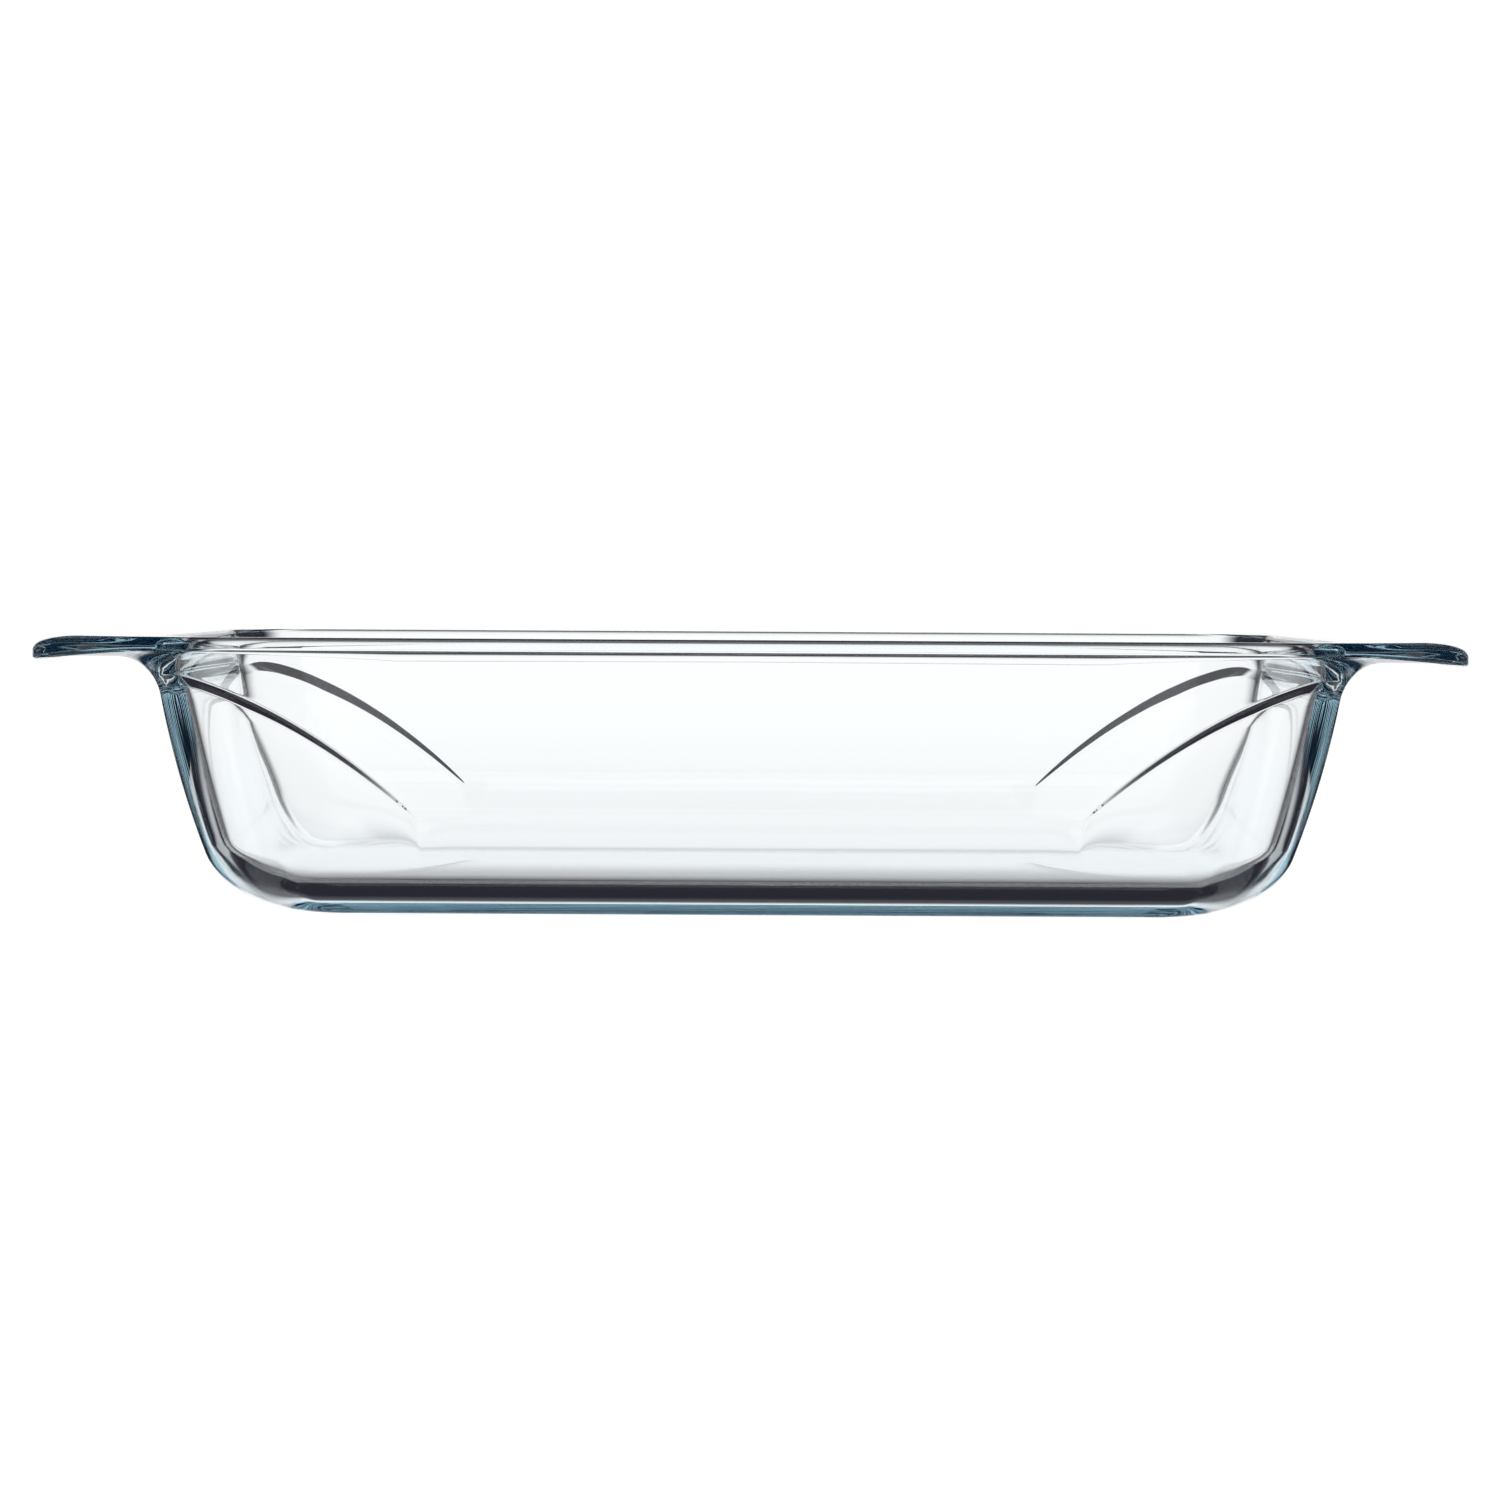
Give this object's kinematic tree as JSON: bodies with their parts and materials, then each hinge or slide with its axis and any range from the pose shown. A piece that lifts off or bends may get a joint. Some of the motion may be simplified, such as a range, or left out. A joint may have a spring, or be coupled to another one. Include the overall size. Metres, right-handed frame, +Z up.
{
  "type": "loaf pan",
  "caption": "Rectangular oven dish of pressed clear glass, loaf pan size, with a wide lug handle at each end and curved flutes at the corners.",
  "frame": {"origin": "centre of the flat base, on the surface the pan stands on", "axes": "+Z up, X along the pan from the left handle to the right handle, Y across it"},
  "size_m": [0.307, 0.12, 0.0567],
  "materials": {
    "glass": "polished"
  },
  "bodies": {
    "root": {"basin": "glass", "left_handle": "glass", "right_handle": "glass"}
  },
  "joints": []
}
